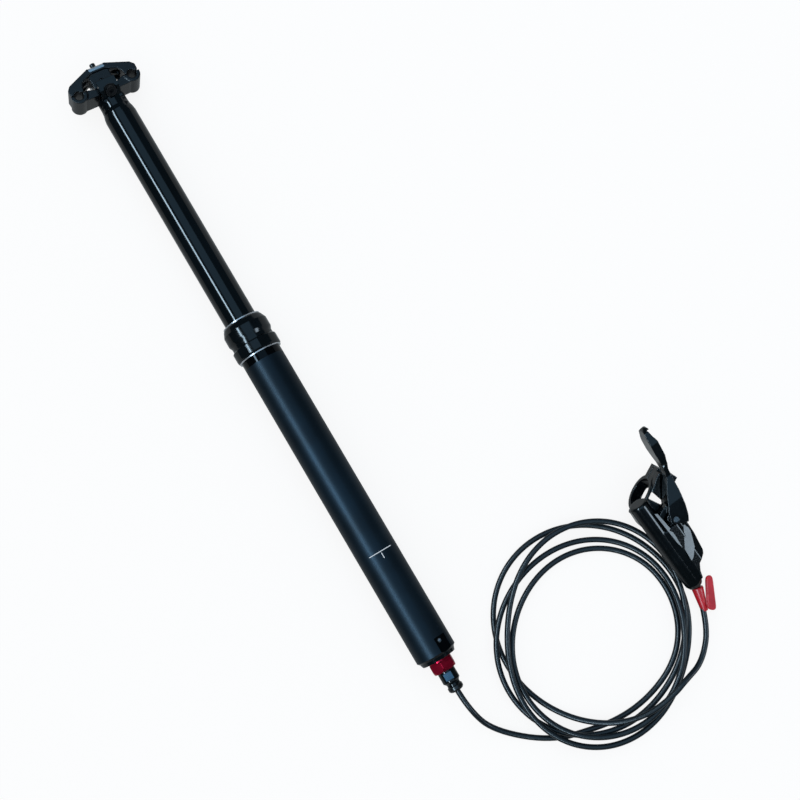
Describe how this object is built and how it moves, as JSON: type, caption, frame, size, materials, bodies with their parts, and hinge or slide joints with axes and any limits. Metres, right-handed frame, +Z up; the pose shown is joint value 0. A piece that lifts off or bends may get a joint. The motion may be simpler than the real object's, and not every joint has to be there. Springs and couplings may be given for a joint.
{
  "type": "dropper seatpost",
  "caption": "Height-adjustable bicycle seatpost with a sliding tube, saddle rail clamp, coiled hydraulic hose and a thumb lever remote.",
  "frame": {"origin": "on the post's axis at the underside of the collar, where the outer tube leaves the bicycle frame; the floor that the part lies on is at Z = -18.15 mm", "axes": "+X along the post towards the saddle, +Z up from the floor"},
  "size_m": [0.6393, 0.246, 0.0565],
  "materials": {
    "gloss_black_anodised": "glossy black anodised aluminium",
    "matte_black_anodised": "matte black anodised aluminium",
    "forged_black": "black painted forged aluminium",
    "red_anodised": "red anodised aluminium",
    "bare_aluminium": "machined aluminium",
    "black_steel": "black zinc plated steel",
    "bright_steel": "ground steel",
    "spring_steel": "spring wire",
    "brass": "turned brass",
    "bronze": "sintered bronze",
    "seal_rubber": "black nitrile rubber",
    "bushing_plastic": "natural bearing plastic",
    "white_plastic": "light grey trim",
    "hose_plastic": "black nylon hose",
    "red_plastic": "red tag plastic",
    "remote_black": "gloss black remote"
  },
  "bodies": {
    "post_outer": {"outer_tube": "matte_black_anodised", "cap_set_screw": "black_steel", "collar_base": "gloss_black_anodised", "collar_cap": "gloss_black_anodised", "trim_ring_base": "white_plastic", "trim_ring_top": "white_plastic", "wiper_seal": "seal_rubber", "upper_bushing": "bushing_plastic", "bottom_cap": "gloss_black_anodised", "cap_o_ring": "seal_rubber", "coupler_nut": "red_anodised", "hose_coupler": "gloss_black_anodised", "hose_gland": "seal_rubber", "piston_shaft": "bright_steel", "main_piston": "bare_aluminium", "main_piston_ring": "seal_rubber", "poppet_spring": "spring_steel", "hose_lead": "hose_plastic", "hose_coil": "hose_plastic", "hose_end": "hose_plastic", "hose_tag": "red_plastic", "remote_housing": "remote_black", "clamp_strap": "remote_black", "strap_screw": "black_steel", "strap_hinge_pin": "bright_steel", "pivot_bush": "bronze", "bleed_screw": "black_steel", "remote_hose_nut": "black_steel", "plunger_spring": "spring_steel"},
    "upper_post": {"upper_post": "gloss_black_anodised", "lower_bushing": "bushing_plastic", "guide_keys": "brass", "seal_head": "bare_aluminium", "air_valve": "brass", "valve_cap": "bare_aluminium", "lower_cradle": "forged_black", "upper_clamp": "forged_black", "clamp_bolts": "black_steel", "clamp_washers": "black_steel", "barrel_nuts": "bright_steel"},
    "floating_piston": {"floating_piston": "bare_aluminium", "floating_piston_ring": "seal_rubber"},
    "lever": {"lever": "remote_black", "lever_pin": "bright_steel"},
    "plunger": {"push_rod": "bright_steel", "plunger": "bare_aluminium", "plunger_seal": "seal_rubber"},
    "valve_rod": {"actuator_rod": "bright_steel", "poppet_valve": "bright_steel", "slave_piston": "bare_aluminium"}
  },
  "joints": [
    {"name": "post_travel", "type": "slide", "parent": "post_outer", "child": "upper_post", "axis": [1, 0, 0], "range_m": [-0.17, 0]},
    {"name": "floating_piston_slide", "type": "slide", "parent": "upper_post", "child": "floating_piston", "axis": [1, 0, 0], "range_m": [0, 0.0425]},
    {"name": "lever_pivot", "type": "hinge", "parent": "post_outer", "child": "lever", "pos_m": [-0.25703, -0.19742, 0.00992], "axis": [-0.3315, -0.0392, 0.9426], "range_deg": [0, 14.5], "stiffness_Nm_per_rad": 1.2, "springref_deg": -6.88},
    {"name": "plunger_slide", "type": "slide", "parent": "post_outer", "child": "plunger", "axis": [-0.9361, -0.1108, -0.3338], "range_m": [0, 0.0039], "deforming": ["plunger_spring"]},
    {"name": "valve_rod_slide", "type": "slide", "parent": "post_outer", "child": "valve_rod", "axis": [1, 0, 0], "range_m": [0, 0.003], "deforming": ["poppet_spring"]}
  ],
  "couplings": [
    {"joint": "floating_piston_slide", "follows": "post_travel", "ratio": -0.25},
    {"joint": "plunger_slide", "follows": "lever_pivot", "m_per_rad": 0.0154},
    {"joint": "valve_rod_slide", "follows": "lever_pivot", "m_per_rad": 0.01179}
  ]
}
